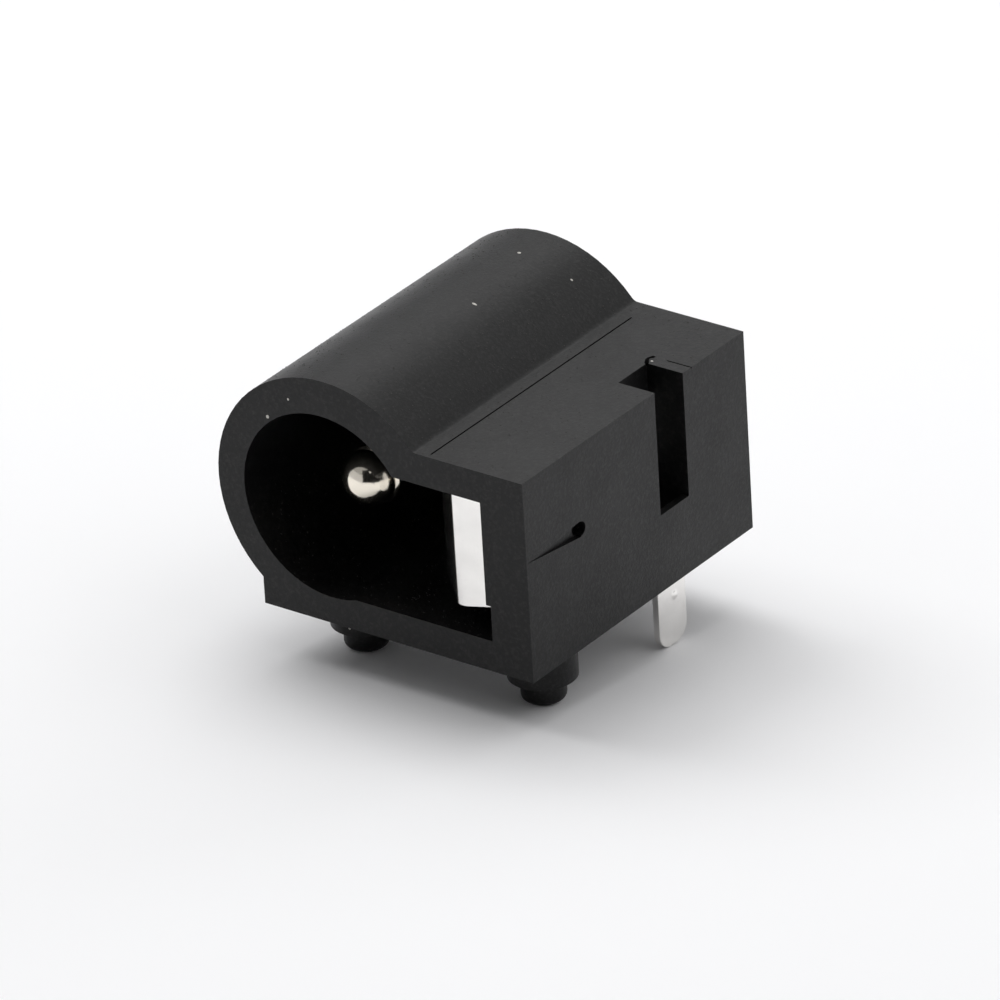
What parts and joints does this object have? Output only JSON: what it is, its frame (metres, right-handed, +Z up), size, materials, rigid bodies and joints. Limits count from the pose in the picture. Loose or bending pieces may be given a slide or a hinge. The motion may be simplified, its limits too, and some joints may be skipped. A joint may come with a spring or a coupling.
{
  "type": "dc barrel jack",
  "caption": "Board-mount dc power jack: moulded barrel and box with a centre pin, a sprung sleeve contact, locating posts and solder legs.",
  "frame": {"origin": "on the board seat (the housing's underside), under the socket's axis, half way along the body from mouth to back face", "axes": "+Z up off the board; -Y out of the mouth, the way the plug leaves; +X from the socket's axis towards the boxed side with the contact bay and the slot"},
  "size_m": [0.0121, 0.012, 0.0114],
  "materials": {
    "body_plastic": "fine matt moulded black",
    "pin_plate": "turned brass, bright nickel plate",
    "terminal_tin": "stamped brass, satin tin plate",
    "spring_tin": "stamped spring bronze, bright tin plate"
  },
  "bodies": {
    "root": {"housing": "body_plastic", "centre_pin": "pin_plate", "centre_terminal": "terminal_tin", "sleeve_contact": "spring_tin", "switch_contact": "terminal_tin"}
  },
  "joints": []
}
